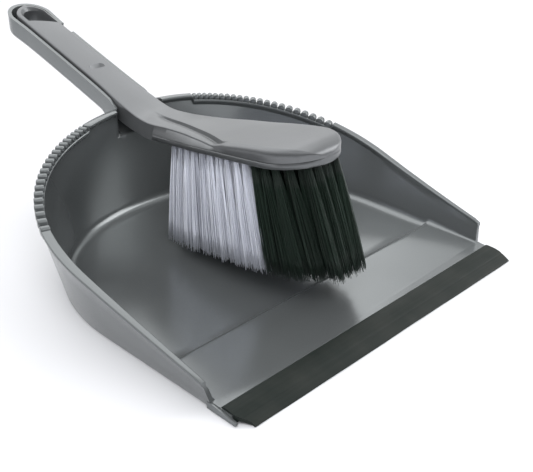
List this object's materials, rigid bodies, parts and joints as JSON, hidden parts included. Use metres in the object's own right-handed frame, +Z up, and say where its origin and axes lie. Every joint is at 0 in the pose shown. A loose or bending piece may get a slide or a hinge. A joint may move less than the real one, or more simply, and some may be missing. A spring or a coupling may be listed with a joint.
{
  "type": "dust pan and brush set",
  "caption": "Grey dust pan with flared walls, comb teeth on the rim and a rubber lip, carrying a two-tone hand brush that sits in its trough handle.",
  "frame": {"origin": "on the floor, under the middle of the pan with its handle", "axes": "+Y from the lip towards the handle, +Z up, X across the pan"},
  "size_m": [0.2636, 0.376, 0.1274],
  "materials": {
    "pan_plastic": "satin metallic grey",
    "brush_plastic": "satin metallic grey",
    "block_plastic": "satin metallic grey",
    "lip_rubber": "satin dark grey",
    "white_bristle": "cool white filament",
    "black_bristle": "green-black filament",
    "anchor_metal": "plain"
  },
  "bodies": {
    "pan": {"pan": "pan_plastic", "rubber_lip": "lip_rubber"},
    "brush": {"brush_cover": "brush_plastic", "tuft_block": "block_plastic", "white_tuft_anchors": "anchor_metal", "black_tuft_anchors": "anchor_metal", "white_tuft_row_01": "white_bristle", "white_tuft_row_02": "white_bristle", "white_tuft_row_03": "white_bristle", "white_tuft_row_04": "white_bristle", "white_tuft_row_05": "white_bristle", "white_tuft_row_06": "white_bristle", "white_tuft_row_07": "white_bristle", "white_tuft_row_08": "white_bristle", "white_tuft_row_09": "white_bristle", "white_tuft_row_10": "white_bristle", "black_tuft_row_01": "black_bristle", "black_tuft_row_02": "black_bristle", "black_tuft_row_03": "black_bristle", "black_tuft_row_04": "black_bristle", "black_tuft_row_05": "black_bristle"}
  },
  "joints": [
    {"name": "brush_lift", "type": "slide", "parent": "pan", "child": "brush", "axis": [0, 0, 1], "range_m": [0, 0.13]}
  ]
}
